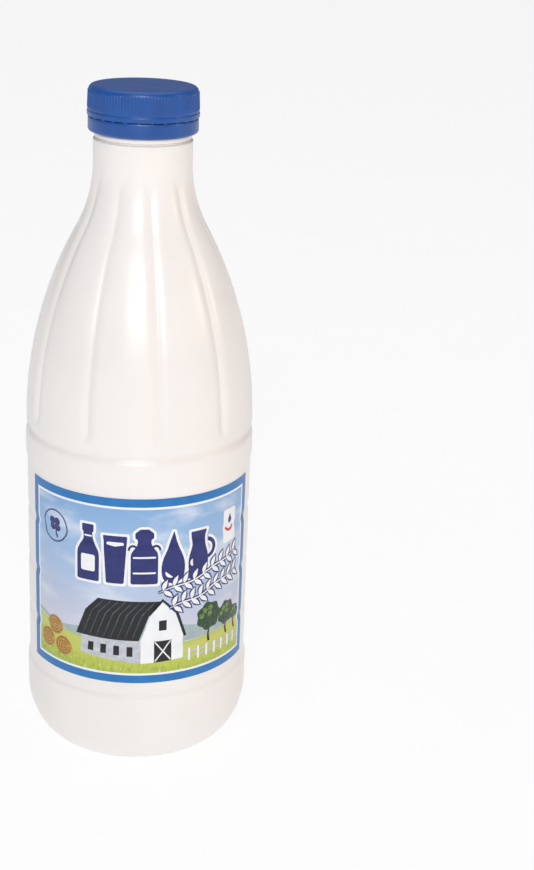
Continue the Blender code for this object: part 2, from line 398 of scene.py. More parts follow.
def seamTree():
    tree, given, out = startTree("seamLine", {"Radius": "Float", "Sides": "Int", "Material": "Material"})
    path = put(tree, "GeometryNodeMeshToCurve", {"Mesh": given.outputs["Geometry"]})
    ring = put(tree, "GeometryNodeCurvePrimitiveCircle", {"Resolution": given.outputs["Sides"],
                                                          "Radius": given.outputs["Radius"]})
    tube = put(tree, "GeometryNodeCurveToMesh", {"Curve": path, "Profile Curve": ring.outputs[0], "Fill Caps": True})
    endTree(tree, tube, given, out)
    return tree


def turnMesh(mesh, azimuth):
    mesh.transform(Matrix.Rotation(radians(azimuth - 90), 4, "Z"))


def makeSeams():
    tree = seamTree()
    inside = seams["sunk"]
    path = [(r - inside, h) for r, h in bottleOutline() if seams["bottom"] < h < seams["top"] and r > 20]
    for number, azimuth in enumerate(seams["azimuths"], 1):
        line = lineMesh("seam_path", path)
        turnMesh(line, azimuth)
        seam = growPiece(f"mould_seam_{number}", line, tree, {
            "Radius": seams["radius"] * mm, "Sides": seams["sides"], "Material": whitePlastic})
        rideAs(seam, "bottle")
    half = 0.5 * seams["pinchLength"]
    hollow = [(r, h) for r, h in bottleOutline() if h > 0 and r < half and h < bottle["hollowRise"] + 0.1]
    across = [(-r, h) for r, h in hollow] + [(r, h) for r, h in reversed(hollow[:-1])]
    line = lineMesh("pinch_path", across)
    turnMesh(line, seams["azimuths"][0])
    pinch = growPiece("pinch_seam", line, tree, {
        "Radius": seams["pinchRadius"] * mm, "Sides": seams["sides"], "Material": whitePlastic})
    rideAs(pinch, "bottle")


makeSeams()
print("mould seams")


# screw cap

cap = {
    "topRadius": 19.6, "radius": 19.85, "edge": 1.9, "edgeSteps": 9,
    "lipRadius": 20.1, "lipTop": 245.3, "bore": 17.2, "roof": 251.9,
    "gateRadius": 1.3, "gateDepth": 0.08,   # the gate mark in the middle of the top
}
knurlValues = {
    "Columns": 108 * 8,
    "Rib Count": 108,
    "Rib Height": 0.22 * mm,
    "Rib Half Width": 0.36 * mm,
    "Rib Bottom": 245.9 * mm,
    "Rib Top": 252.4 * mm,
    "Rib Fade": 0.35 * mm,
}


def capOutline():
    c = cap
    low, high = (corner.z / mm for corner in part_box("cap"))
    points = [(0, high - c["gateDepth"]), (0.6 * c["gateRadius"], high - c["gateDepth"]),
              (0.8 * c["gateRadius"], high - 0.5 * c["gateDepth"]), (c["gateRadius"], high), (4, high), (12, high)]
    for step in range(c["edgeSteps"] + 1):
        angle = 0.5 * pi * step / c["edgeSteps"]
        points.append((c["topRadius"] - c["edge"] * (1 - sin(angle)), high - c["edge"] * (1 - cos(angle))))
    ribRows = 10
    for row in range(1, ribRows):
        share = row / ribRows
        points.append((c["topRadius"] + (c["radius"] - c["topRadius"]) * share,
                       high - c["edge"] + (c["lipTop"] + 0.4 - high + c["edge"]) * share))
    points += rounded([
        (c["radius"], c["lipTop"] + 0.4, 0), (c["radius"], c["lipTop"], 0.2), (c["lipRadius"], c["lipTop"] - 0.2, 0.3),
        (c["lipRadius"], low, 0.35), (c["bore"], low, 0.3), (c["bore"], c["roof"], 0.3), (0, c["roof"], 0),
    ])
    return points


def knurlTree():
    tree, given, out = startTree("knurledCap", {
        "Columns": "Int", "Rib Count": "Int", "Rib Height": "Float", "Rib Half Width": "Float",
        "Rib Bottom": "Float", "Rib Top": "Float", "Rib Fade": "Float", "Cap Radius": "Float",
        "Material": "Material"})
    value = given.outputs
    grid, turn, radius, height = turnedGrid(tree, given, 0.45, value["Rib Count"])
    beside = besideRepeat(tree, turn, radius, value["Rib Count"])
    across = put(tree, "ShaderNodeMapRange", {"Value": beside, "From Min": 0.0, "From Max": value["Rib Half Width"],
                                              "To Min": 1.0, "To Max": 0.0}, interpolation_type="SMOOTHSTEP")
    fadeEnd = put(tree, "ShaderNodeMath", {0: value["Rib Bottom"], 1: value["Rib Fade"]})
    rising = put(tree, "ShaderNodeMapRange", {"Value": height, "From Min": value["Rib Bottom"], "From Max": fadeEnd},
                 interpolation_type="SMOOTHSTEP")
    fadeStart = put(tree, "ShaderNodeMath", {0: value["Rib Top"], 1: value["Rib Fade"]}, operation="SUBTRACT")
    falling = put(tree, "ShaderNodeMapRange", {"Value": height, "From Min": fadeStart, "From Max": value["Rib Top"],
                                               "To Min": 1.0, "To Max": 0.0}, interpolation_type="SMOOTHSTEP")
    outside = put(tree, "ShaderNodeMath", {0: radius, 1: value["Cap Radius"]}, operation="GREATER_THAN")
    shown = put(tree, "ShaderNodeMath", {0: rising, 1: falling}, operation="MULTIPLY")
    there = put(tree, "ShaderNodeMath", {0: shown, 1: outside}, operation="MULTIPLY")
    shape = put(tree, "ShaderNodeMath", {0: across, 1: there}, operation="MULTIPLY")
    rise = put(tree, "ShaderNodeMath", {0: shape, 1: value["Rib Height"]}, operation="MULTIPLY")
    final = put(tree, "ShaderNodeMath", {0: radius, 1: rise})
    surface = turnedSurface(tree, grid, turn, 0.0, final, height)
    endTree(tree, surface, given, out)
    return tree


def bluePolyethylene():
    # blue HDPE, injection moulded: satin gloss, with the flow's faint clouding under the surface
    material, tree, shader = newMaterial("mouldedBluePolyethylene")
    place = put(tree, "ShaderNodeTexCoord", {}).outputs["Object"]
    flow = put(tree, "ShaderNodeTexNoise", {"Vector": place, "Scale": 1 / (9 * mm), "Detail": 3.0})
    tone = setRamp(put(tree, "ShaderNodeValToRGB", {0: flow.outputs[0]}), [(0.3, "#154c96"), (0.7, "#1a55a3")])
    grain = put(tree, "ShaderNodeTexNoise", {"Vector": place, "Scale": 1 / (0.5 * mm), "Detail": 1.0})
    skin = put(tree, "ShaderNodeBump", {"Height": grain.outputs[0], "Strength": 0.05, "Distance": 0.05 * mm})
    tree.links.new(tone.outputs[0], shader.inputs["Base Color"])
    tree.links.new(skin.outputs[0], shader.inputs["Normal"])
    shader.inputs["Roughness"].default_value = 0.34
    shader.inputs["IOR"].default_value = 1.5
    shader.inputs["Subsurface Weight"].default_value = 0.1
    shader.inputs["Subsurface Radius"].default_value = (0.3, 0.5, 1.0)
    shader.inputs["Subsurface Scale"].default_value = 0.8 * mm
    return material


bluePlastic = bluePolyethylene()
capShell = growPiece("cap_shell", lineMesh("cap_outline", capOutline()), knurlTree(),
                     {**knurlValues, "Cap Radius": (cap["topRadius"] - 1.0) * mm, "Material": bluePlastic})
rideAs(capShell, "cap", "cap")
print("cap:", len(capShell.data.polygons), "faces")


# tamper ring and its bridges

ring = {
    "radius": 19.8, "chamfer": 0.6, "ledgeHeight": 0.5, "ledgeLean": 0.18, "bore": 17.3, "steps": 180,
}
bridges = {"count": 26, "size": (0.5, 0.9, 0.44), "radius": 19.45, "seed": 7, "narrow": 0.6, "wide": 2.2}


def makeRing():
    low, high = (corner.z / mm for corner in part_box("tamper_band"))
    r = ring["radius"]
    outline = rounded([
        (ring["bore"], high, 0), (r - ring["ledgeLean"], high, 0.12), (r, high - ring["ledgeHeight"], 0.3),
        (r, low + 2.5, 1.0), (r, low + ring["chamfer"], 0.4), (r - ring["chamfer"], low, 0.3),
        (ring["bore"], low, 0.2), (ring["bore"], high, 0),
    ])
    tree, given, out = startTree("plainRing", {"Columns": "Int", "Material": "Material"})
    grid, turn, radius, height = turnedGrid(tree, given, 0.0, 1.0)
    endTree(tree, turnedSurface(tree, grid, turn, 0.0, radius, height), given, out)
    return growPiece("tamper_ring", lineMesh("ring_outline", outline), tree,
                     {"Columns": ring["steps"], "Material": bluePlastic})


def makeBridges():
    # small uneven tabs, cut out of the slit between the cap and its ring
    tab = bmesh.new()
    bmesh.ops.create_cube(tab, size=1.0, matrix=Matrix.Diagonal((*[s * mm for s in bridges["size"]], 1)))
    bmesh.ops.bevel(tab, geom=tab.edges[:], offset=0.08 * mm, segments=2, affect="EDGES")
    mesh = bpy.data.meshes.new("bridge_tab")
    tab.to_mesh(mesh)
    tab.free()
    tree, given, out = startTree("bridgeCircle", {
        "Count": "Int", "Radius": "Float", "Height": "Float", "Narrow": "Float", "Wide": "Float", "Seed": "Int",
        "Material": "Material"})
    value = given.outputs
    spots = put(tree, "GeometryNodeMeshCircle", {"Vertices": value["Count"], "Radius": value["Radius"]})
    index = put(tree, "GeometryNodeInputIndex", {})
    share = put(tree, "ShaderNodeMath", {0: index, 1: value["Count"]}, operation="DIVIDE")
    angle = put(tree, "ShaderNodeMath", {0: share, 1: fullTurn}, operation="MULTIPLY")
    facing = put(tree, "FunctionNodeEulerToRotation", {0: put(tree, "ShaderNodeCombineXYZ", {"Z": angle})})
    width = put(tree, "FunctionNodeRandomValue", {2: value["Narrow"], 3: value["Wide"], "Seed": value["Seed"]})
    stretch = put(tree, "ShaderNodeCombineXYZ", {"X": 1.0, "Y": width.outputs[1], "Z": 1.0})
    tabs = put(tree, "GeometryNodeInstanceOnPoints", {"Points": spots, "Instance": given.outputs["Geometry"],
                                                      "Rotation": facing, "Scale": stretch})
    rise = put(tree, "ShaderNodeCombineXYZ", {"Z": value["Height"]})
    raised = put(tree, "GeometryNodeTranslateInstances", {"Instances": tabs, "Translation": rise,
                                                          "Local Space": False})
    endTree(tree, raised, given, out)
    gap = 0.5 * (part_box("cap")[0].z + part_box("tamper_band")[1].z)
    return growPiece("cap_bridges", mesh, tree, {
        "Count": bridges["count"], "Radius": bridges["radius"] * mm, "Height": gap, "Narrow": bridges["narrow"],
        "Wide": bridges["wide"], "Seed": bridges["seed"], "Material": bluePlastic})


rideAs(makeRing(), "cap", "tamper_band")
rideAs(makeBridges(), "cap")
print("tamper ring and bridges")


# labels

label = {
    "width": 100.0,            # measured round the bottle
    "followRibs": 0.6,         # the paper sinks into the panel's ribs by this share of their depth
    "glue": 0.05, "paper": 0.1, "ink": 0.02,
    "columnStep": 1.25, "rowStep": 0.55,
    "border": 3.2, "keyline": 0.9,
}
labelLow, labelHigh = (corner.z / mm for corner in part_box("label_front"))
labelMap = "labelMap"


def boxLoop(left, low, right, high, reach=0.0):
    return rounded([(left, low, reach), (right, low, reach), (right, high, reach), (left, high, reach)], closed=True)


def roundLoop(x, z, radius, steps=40, lobes=0, wave=0.0, squash=1.0):
    # a circle, an oval or a lobed outline
    loop = []
    for step in range(steps):
        angle = fullTurn * step / steps
        reach = radius * (1 + wave * cos(lobes * angle))
        loop.append((x + reach * cos(angle), z + squash * reach * sin(angle)))
    return loop


def mirroredLoop(x, half):
    # half is the right side, top to bottom, measured from the middle line
    return [(x + dx, z, reach) for dx, z, reach in half] + [(x - dx, z, reach) for dx, z, reach in reversed(half)]


def grown(corners, distance):
    # the same outline, drawn a distance further out
    area = sum(a[0] * b[1] - b[0] * a[1] for a, b in zip(corners, corners[1:] + corners[:1]))
    side = distance if area > 0 else -distance
    moved = []
    for i, (x, z, reach) in enumerate(corners):
        here = Vector((x, z))
        back = (here - Vector(corners[i - 1][:2])).normalized()
        onward = (Vector(corners[(i + 1) % len(corners)][:2]) - here).normalized()
        out = Vector((back.y, -back.x)) + Vector((onward.y, -onward.x))
        out *= 2 * side / max(out.length_squared, 1.2)
        moved.append((x + out.x, z + out.y, reach + 0.5 * distance))
    return moved


def strokeLoop(path, widths):
    # a brush stroke along a path, as wide at each point as widths says
    left, right = [], []
    for i, (x, z) in enumerate(path):
        along = Vector(path[min(i + 1, len(path) - 1)]) - Vector(path[max(i - 1, 0)])
        out = Vector((-along.y, along.x)).normalized() * 0.5 * widths[i]
        left.append((x + out.x, z + out.y))
        right.append((x - out.x, z - out.y))
    return left + right[::-1]


def arcPath(x, z, radius, start, end, steps=14):
    angles = [radians(start + (end - start) * step / steps) for step in range(steps + 1)]
    return [(x + radius * cos(a), z + radius * sin(a)) for a in angles]


def filled(loops):
    # a flat mesh of one shape; loops inside it are holes
    curve = bpy.data.curves.new("shape", "CURVE")
    curve.dimensions = "2D"
    curve.fill_mode = "BOTH"
    for loop in loops:
        spline = curve.splines.new("POLY")
        spline.points.add(len(loop) - 1)
        for point, (x, z) in zip(spline.points, loop):
            point.co = (x, z, 0, 1)
        spline.use_cyclic_u = True
    holder = bpy.data.objects.new("shape", curve)
    bpy.context.scene.collection.objects.link(holder)
    bpy.context.view_layer.update()
    mesh = bpy.data.meshes.new_from_object(holder.evaluated_get(bpy.context.evaluated_depsgraph_get()))
    bpy.data.objects.remove(holder)
    return mesh


def cutAcross(flat, axis, step, only=None):
    # cuts the flat shapes into strips, so that they can bend
    reach = [v.co[axis] for v in flat.verts]
    place = ceil(min(reach) / step) * step
    while place < max(reach):
        if only is None or only(place):
            spot, normal = Vector(), Vector()
            spot[axis], normal[axis] = place, 1
            bmesh.ops.bisect_plane(flat, geom=flat.verts[:] + flat.edges[:] + flat.faces[:], plane_co=spot,
                                   plane_no=normal, dist=1e-5)
        place += step


def wrapped(name, shapes, level, thickness, azimuth, material):
    # fills flat shapes, wraps them round the panel and gives them a thickness, as one closed piece
    flat = bmesh.new()
    for loops in shapes:
        shape = filled(loops)
        flat.from_mesh(shape)
        bpy.data.meshes.remove(shape)
    bmesh.ops.remove_doubles(flat, verts=flat.verts, dist=1e-4)
    cutAcross(flat, 0, label["columnStep"])
    cutAcross(flat, 1, label["rowStep"], lambda z: ribDip(z - 0.3) + ribDip(z + 0.3) > 0)
    top = bmesh.ops.extrude_face_region(flat, geom=flat.faces[:], use_keep_orig=True)["geom"]
    for vert in flat.verts:
        vert.co.z = level
    for item in top:
        if isinstance(item, bmesh.types.BMVert):
            item.co.z = level + thickness
    spread = flat.loops.layers.uv.new(labelMap)
    for face in flat.faces:
        for corner in face.loops:
            x, z, _ = corner.vert.co
            corner[spread].uv = (x / label["width"] + 0.5, (z - labelLow) / (labelHigh - labelLow))
    for vert in flat.verts:
        x, z, lift = vert.co
        dip = label["followRibs"] * bottle["ribDepth"] * ribDip(z)
        radius = bottle["panelRadius"] + label["glue"] + lift - dip
        angle = radians(azimuth) + x / bottle["panelRadius"]
        vert.co = Vector((radius * sin(angle), -radius * cos(angle), z)) * mm
    bmesh.ops.recalc_face_normals(flat, faces=flat.faces)
    mesh = bpy.data.meshes.new(name)
    flat.to_mesh(mesh)
    flat.free()
    mesh.shade_smooth()
    mesh.set_sharp_from_angle(angle=radians(40))
    mesh.materials.append(material)
    piece = newPiece(name, mesh)
    rideAs(piece, "label")
    return piece


def labelPaper():
    # coated paper, gravure printed with a sky and a meadow: satin, its dots too fine to see
    material, tree, shader = newMaterial("coatedPaperSkyAndMeadow")
    uv = put(tree, "ShaderNodeUVMap", {}, uv_map=labelMap)
    across = put(tree, "ShaderNodeSeparateXYZ", {0: uv})
    high = labelHigh - labelLow
    flatPlace = put(tree, "ShaderNodeMapping", {"Vector": uv, "Scale": (label["width"], high, 1.0)})

    sky = setRamp(put(tree, "ShaderNodeValToRGB", {0: across.outputs["Y"]}), [
        (0.2, "#d9d6e4"), (0.36, "#c6cde2"), (0.6, "#a9c3e4"), (0.82, "#93b8e2"), (1.0, "#7fa9d9")])
    cloudPlace = put(tree, "ShaderNodeMapping", {"Vector": flatPlace, "Scale": (1.0, 2.4, 1.0)})
    clouds = put(tree, "ShaderNodeTexNoise", {"Vector": cloudPlace, "Scale": 1 / 26.0, "Detail": 4.0})
    cloudCover = put(tree, "ShaderNodeMapRange", {"Value": clouds, "From Min": 0.46, "From Max": 0.68,
                                                  "To Max": 0.75}, interpolation_type="SMOOTHSTEP")
    cloudy = put(tree, "ShaderNodeMix", {0: cloudCover, 6: sky, 7: linear("#dbe4f3")}, data_type="RGBA")

    rise = put(tree, "ShaderNodeFloatCurve", {"Value": across.outputs["X"]})
    curve = rise.mapping.curves[0]
    for place, height in ((0.0, 0.285), (0.22, 0.235), (0.5, 0.205), (0.78, 0.215), (1.0, 0.24)):
        if place in (0.0, 1.0):
            curve.points[0 if place == 0.0 else -1].location = (place, height)
        else:
            curve.points.new(place, height)
    rise.mapping.update()
    wobble = put(tree, "ShaderNodeTexNoise", {"Vector": flatPlace, "Scale": 1 / 1.6, "Detail": 3.0})
    tuft = put(tree, "ShaderNodeMath", {0: wobble, 1: 0.012, 2: -0.006}, operation="MULTIPLY_ADD")
    below = put(tree, "ShaderNodeMath", {0: put(tree, "ShaderNodeMath", {0: rise, 1: tuft}),
                                         1: across.outputs["Y"]}, operation="SUBTRACT")
    onMeadow = put(tree, "ShaderNodeMapRange", {"Value": below, "From Min": -0.002, "From Max": 0.004})
    meadow = setRamp(put(tree, "ShaderNodeValToRGB", {0: below}), [
        (0.0, "#b9c562"), (0.03, "#cbd06c"), (0.1, "#bfca57"), (0.2, "#a9bd45")])
    bladePlace = put(tree, "ShaderNodeMapping", {"Vector": flatPlace, "Scale": (1.0, 0.45, 1.0)})
    blades = put(tree, "ShaderNodeTexNoise", {"Vector": bladePlace, "Scale": 1 / 1.1, "Detail": 4.0,
                                              "Roughness": 0.65})
    deep = put(tree, "ShaderNodeMapRange", {"Value": below, "From Min": 0.08, "From Max": 0.16, "To Min": 0.12,
                                            "To Max": 0.85})
    blade = put(tree, "ShaderNodeMapRange", {"Value": blades, "From Min": 0.5, "From Max": 0.66})
    bladeShare = put(tree, "ShaderNodeMath", {0: deep, 1: blade}, operation="MULTIPLY")
    grass = put(tree, "ShaderNodeMix", {0: bladeShare, 6: meadow, 7: linear("#73902f")}, data_type="RGBA")
    blossom = put(tree, "ShaderNodeTexVoronoi", {"Vector": flatPlace, "Scale": 1 / 2.4})
    dots = put(tree, "ShaderNodeMapRange", {"Value": blossom, "From Min": 0.1, "From Max": 0.2, "To Min": 1.0,
                                            "To Max": 0.0})
    dotShare = put(tree, "ShaderNodeMath", {0: dots, 1: deep}, operation="MULTIPLY")
    flowered = put(tree, "ShaderNodeMix", {0: dotShare, 6: grass, 7: linear("#e9eaa4")}, data_type="RGBA")
    view = put(tree, "ShaderNodeMix", {0: onMeadow, 6: cloudy, 7: flowered}, data_type="RGBA")
    tree.links.new(view.outputs[2], shader.inputs["Base Color"])   # the mix node's colour output
    shader.inputs["Roughness"].default_value = 0.36
    return material


def printInk(name, dark, light, grain=6.0):
    # gravure ink on coated paper: satin, its density a little uneven over a few millimetres
    material, tree, shader = newMaterial(name)
    uv = put(tree, "ShaderNodeUVMap", {}, uv_map=labelMap)
    place = put(tree, "ShaderNodeMapping", {"Vector": uv, "Scale": (label["width"], labelHigh - labelLow, 1.0)})
    density = put(tree, "ShaderNodeTexNoise", {"Vector": place, "Scale": 1 / grain, "Detail": 3.0})
    tone = setRamp(put(tree, "ShaderNodeValToRGB", {0: density.outputs[0]}), [(0.35, dark), (0.65, light)])
    tree.links.new(tone.outputs[0], shader.inputs["Base Color"])
    shader.inputs["Roughness"].default_value = 0.34
    return material


inks = {
    "blue": printInk("blueBorderInk", "#1470b8", "#1b7ac0"),
    "white": printInk("whiteInk", "#eef1f6", "#f5f7fa"),
    "navy": printInk("navyInk", "#1c2467", "#232d78"),
    "black": printInk("blackInk", "#07090d", "#15181e", 3.0),
    "slate": printInk("slateSheenInk", "#343941", "#545b66", 2.0),
    "shade": printInk("paleShadeInk", "#b7bcc6", "#cdd1d9", 2.0),
    "leaf": printInk("darkLeafInk", "#1d3524", "#35552f", 1.4),
    "sunlitLeaf": printInk("sunlitLeafInk", "#4b6f31", "#7d9a45", 1.2),
    "straw": printInk("strawInk", "#a87a2c", "#d0a24a", 0.9),
    "strawShade": printInk("strawShadeInk", "#6d4c1e", "#8d6628", 1.2),
    "hill": printInk("hazyHillInk", "#9db1b8", "#adbdbb", 5.0),
    "red": printInk("redInk", "#c23a32", "#cf4a3f"),
}
inkLayers = ("base", "low", "middle", "high", "top")
inkLevel = {name: label["paper"] + label["ink"] * step for step, name in enumerate(inkLayers)}


def printOn(side, azimuth, ink, layer, shapes, what):
    return wrapped(f"{side}_{what}", shapes, inkLevel[layer], label["ink"], azimuth, inks[ink])


def printFrame(side, azimuth):
    half, edge, line = 0.5 * label["width"], label["border"], label["keyline"]
    outer = boxLoop(-half, labelLow, half, labelHigh)
    inner = boxLoop(edge - half, labelLow + edge, half - edge, labelHigh - edge)
    inset = edge + line
    innermost = boxLoop(inset - half, labelLow + inset, half - inset, labelHigh - inset)
    printOn(side, azimuth, "blue", "base", [[outer, inner]], "border")
    printOn(side, azimuth, "white", "base", [[inner, innermost]], "keyline")


def makePaper(side, azimuth, node, paper):
    half = 0.5 * label["width"]
    sheet = wrapped(f"{side}_paper", [[boxLoop(-half, labelLow, half, labelHigh)]], 0.0, label["paper"], azimuth,
                    paper)
    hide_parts(node)


# the row of dairy things on the front label, each an outline of corners about its own middle line
icons = {
    "outline": 1.0,
    "bottle": (-20.6, [(2.3, 101.6, 0.5), (2.3, 98.9, 0.4), (1.8, 98.5, 0.3), (1.8, 95.6, 1.5), (4.4, 91.0, 1.6),
                       (4.4, 79.3, 0.9)]),
    "glass": (-10.2, [(4.5, 98.2, 0.5), (3.3, 79.3, 0.8)]),
    "churn": (0.6, [(1.5, 101.2, 0.5), (3.4, 99.6, 0.4), (3.4, 97.6, 0.4), (2.5, 97.0, 0.5), (2.5, 94.9, 1.2),
                    (5.0, 91.6, 1.4), (5.0, 79.3, 0.9)]),
    "drop": (11.4, [(0.12, 99.6, 0.1), (1.9, 93.6, 3.0), (4.7, 87.6, 3.6), (4.3, 80.6, 3.4), (0.8, 79.0, 1.6)]),
    "jug": (21.6, [(3.4, 98.4, 0.6), (2.6, 93.2, 1.6), (4.4, 87.6, 2.6), (3.9, 79.3, 1.2)]),
}


def printIcons(side, azimuth):
    outlines, shapes = [], []
    for name in ("bottle", "glass", "churn", "drop", "jug"):
        x, half = icons[name]
        corners = mirroredLoop(x, half)
        shapes.append([rounded(corners, closed=True)])
        outlines.append([rounded(grown(corners, icons["outline"]), closed=True)])
    x = icons["jug"][0]
    grip = arcPath(x + 3.4, 90.6, 3.6, 78, -84)
    shapes.append([strokeLoop(grip, [1.5] * len(grip))])
    outlines.append([strokeLoop(grip, [1.5 + 2 * icons["outline"]] * len(grip))])
    for end in (-1, 1):
        ear = arcPath(icons["churn"][0] + end * 4.2, 93.0, 1.5, 90 - 100 * end, 90 + 80 * end, 10)
        shapes.append([strokeLoop(ear, [0.8] * len(ear))])
        outlines.append([strokeLoop(ear, [0.8 + 1.6 * icons["outline"]] * len(ear))])
    printOn(side, azimuth, "white", "middle", outlines, "icon_outlines")
    printOn(side, azimuth, "navy", "high", shapes, "icons")

    lights = [[boxLoop(-23.4, 83.0, -17.8, 89.6, 0.8)]]                       # the little bottle's label
    lights.append([boxLoop(-22.1, 96.6, -19.1, 97.3, 0.2)])
    surface = [(-10.2 + dx, z, 0.4) for dx, z in ((-3.3, 94.6), (0, 94.0), (3.3, 94.6), (3.1, 95.6), (-3.1, 95.6))]
    lights.append([rounded(surface, closed=True)])                            # the milk's level in the glass
    for z in (83.4, 89.6):                                                    # hoops round the churn
        lights.append([boxLoop(-3.6, z, 4.8, z + 0.7, 0.3)])
    shine = arcPath(11.4, 84.6, 3.0, 195, 265, 10)
    lights.append([strokeLoop(shine, [0.3 + 0.9 * sin(pi * i / 10) for i in range(11)])])
    belly = arcPath(21.2, 86.2, 2.6, 150, 215, 8)
    lights.append([strokeLoop(belly, [0.3 + 0.8 * sin(pi * i / 8) for i in range(9)])])
    printOn(side, azimuth, "white", "top", lights, "icon_lights")


sprigs = {
    "lines": (((5.9, 75.4), (42.2, 85.6)), ((10.0, 68.8), (42.4, 77.4))),
    "leaves": 9, "leafLength": 4.3, "leafWidth": 1.7, "lean": 52.0, "outline": 0.55, "stem": 0.55,
}


def leafLoop(x, z, angle, length, width):
    direction = Vector((cos(angle), sin(angle)))
    side = Vector((-direction.y, direction.x))
    path = [Vector((x, z)) + direction * length * t / 8 for t in range(9)]
    return strokeLoop([tuple(p + side * 0.25 * sin(pi * i / 8)) for i, p in enumerate(path)],
                      [max(0.12, width * sin(pi * (i / 8) ** 0.8)) for i in range(9)])


def printSprigs(side, azimuth):
    s = sprigs
    under, over = [], []
    for (x0, z0), (x1, z1) in s["lines"]:
        slope = Vector((x1 - x0, z1 - z0)).angle_signed(Vector((1, 0)))
        stem = [(x0 + (x1 - x0) * t / 20, z0 + (z1 - z0) * t / 20 + 0.5 * sin(pi * t / 5)) for t in range(21)]
        taper = [s["stem"] * min(1, 0.3 + 0.2 * min(i, 20 - i)) for i in range(21)]
        over.append([strokeLoop(stem, taper)])
        under.append([strokeLoop(stem, [w + 2 * s["outline"] for w in taper])])
        for number in range(s["leaves"]):
            share = (number + 0.4) / s["leaves"]
            x, z = x0 + (x1 - x0) * share, z0 + (z1 - z0) * share + 0.5 * sin(4 * pi * share)
            for end in (-1, 1):
                angle = slope + end * radians(s["lean"])
                out = Vector((cos(angle), sin(angle))) * 0.45
                over.append([leafLoop(x + out.x, z + out.y, angle, s["leafLength"], s["leafWidth"])])
                under.append([leafLoop(x + out.x - 0.3 * out.x, z + out.y - 0.3 * out.y, angle,
                                       s["leafLength"] + 1.6 * s["outline"], s["leafWidth"] + 2 * s["outline"])])
    printOn(side, azimuth, "navy", "high", under, "sprig_outlines")
    printOn(side, azimuth, "white", "top", over, "sprigs")


def printEmblem(side, azimuth):
    x, z, radius = -36.0, 97.0, 6.4
    hoop = [roundLoop(x, z, radius), roundLoop(x, z, radius - 0.55)]
    leaves = [[roundLoop(x + 1.75 * cos(a), z + 0.6 + 1.75 * sin(a), 1.5, 24)] for a in
              (radians(45 + 90 * n) for n in range(4))]
    stem = [(x + 0.1, z - 0.6), (x + 0.5, z - 2.6), (x + 1.5, z - 4.4)]
    printOn(side, azimuth, "navy", "low", [hoop, *leaves, [strokeLoop(stem, [0.5, 0.6, 0.8])]], "emblem")


def printTag(side, azimuth):
    printOn(side, azimuth, "white", "low", [[boxLoop(33.6, 89.6, 41.0, 103.0, 1.0)]], "tag")
    dish = arcPath(37.3, 96.6, 2.3, 200, 340, 12)
    printOn(side, azimuth, "red", "middle", [[strokeLoop(dish, [1.0] * 13)]], "tag_bowl")
    drop = [(37.3, 101.0, 0.2), (38.5, 98.2, 0.9), (37.3, 96.6, 1.0), (36.1, 98.2, 0.9)]
    printOn(side, azimuth, "navy", "middle", [[rounded(drop, closed=True)]], "tag_drop")


barn = {
    "roof": [(-25.6, 56.6), (-21.6, 67.2), (-16.6, 72.6), (7.6, 72.0), (2.6, 66.4), (-1.2, 56.0)],
    "sideWall": [(-23.6, 49.2), (-23.6, 57.0), (-0.4, 56.4), (-0.4, 46.6)],
    "gable": [(-0.4, 46.6), (15.8, 47.6), (15.8, 57.2), (12.6, 66.4), (7.6, 71.4), (3.0, 66.2), (-0.4, 56.4)],
    "door": [(4.6, 46.9), (11.2, 47.3), (11.2, 55.8), (4.6, 55.6)],
    "hatch": [(6.3, 60.0), (9.2, 60.1), (9.2, 64.2), (6.3, 64.1)],
    "windows": 4, "roofLines": 9,
}


def printBarn(side, azimuth):
    b = barn
    printOn(side, azimuth, "shade", "low", [[b["sideWall"]]], "barn_side")
    printOn(side, azimuth, "white", "low", [[b["gable"]]], "barn_gable")
    dark = [[b["roof"]], [b["door"]], [b["hatch"]]]
    trim = [(16.6, 56.6), (13.2, 66.8), (7.6, 72.4), (2.4, 66.6)]
    dark.append([strokeLoop(trim, [1.1] * 4)])
    for number in range(b["windows"]):
        x = -20.6 + 5.0 * number
        dark.append([boxLoop(x, 50.6 - 0.35 * number, x + 2.2, 54.0 - 0.2 * number)])
    printOn(side, azimuth, "black", "middle", dark, "barn_dark")
    ribs = []
    for number in range(1, b["roofLines"]):
        share = number / b["roofLines"]
        low = Vector(b["roof"][0]).lerp(Vector(b["roof"][5]), share)
        knee = Vector(b["roof"][1]).lerp(Vector(b["roof"][4]), share)
        ridge = Vector(b["roof"][2]).lerp(Vector(b["roof"][3]), share)
        ribs.append([strokeLoop([tuple(low.lerp(knee, 0.08)), tuple(knee), tuple(ridge.lerp(knee, 0.06))],
                                [0.22, 0.5, 0.3])])
    printOn(side, azimuth, "slate", "high", ribs, "barn_roof_sheen")
    diagonals = ([(4.9, 47.4), (10.9, 55.4)], [(4.9, 55.2), (10.9, 47.7)])
    brace = [[strokeLoop(line, [0.5, 0.5])] for line in diagonals]
    printOn(side, azimuth, "white", "high", brace, "barn_door_braces")


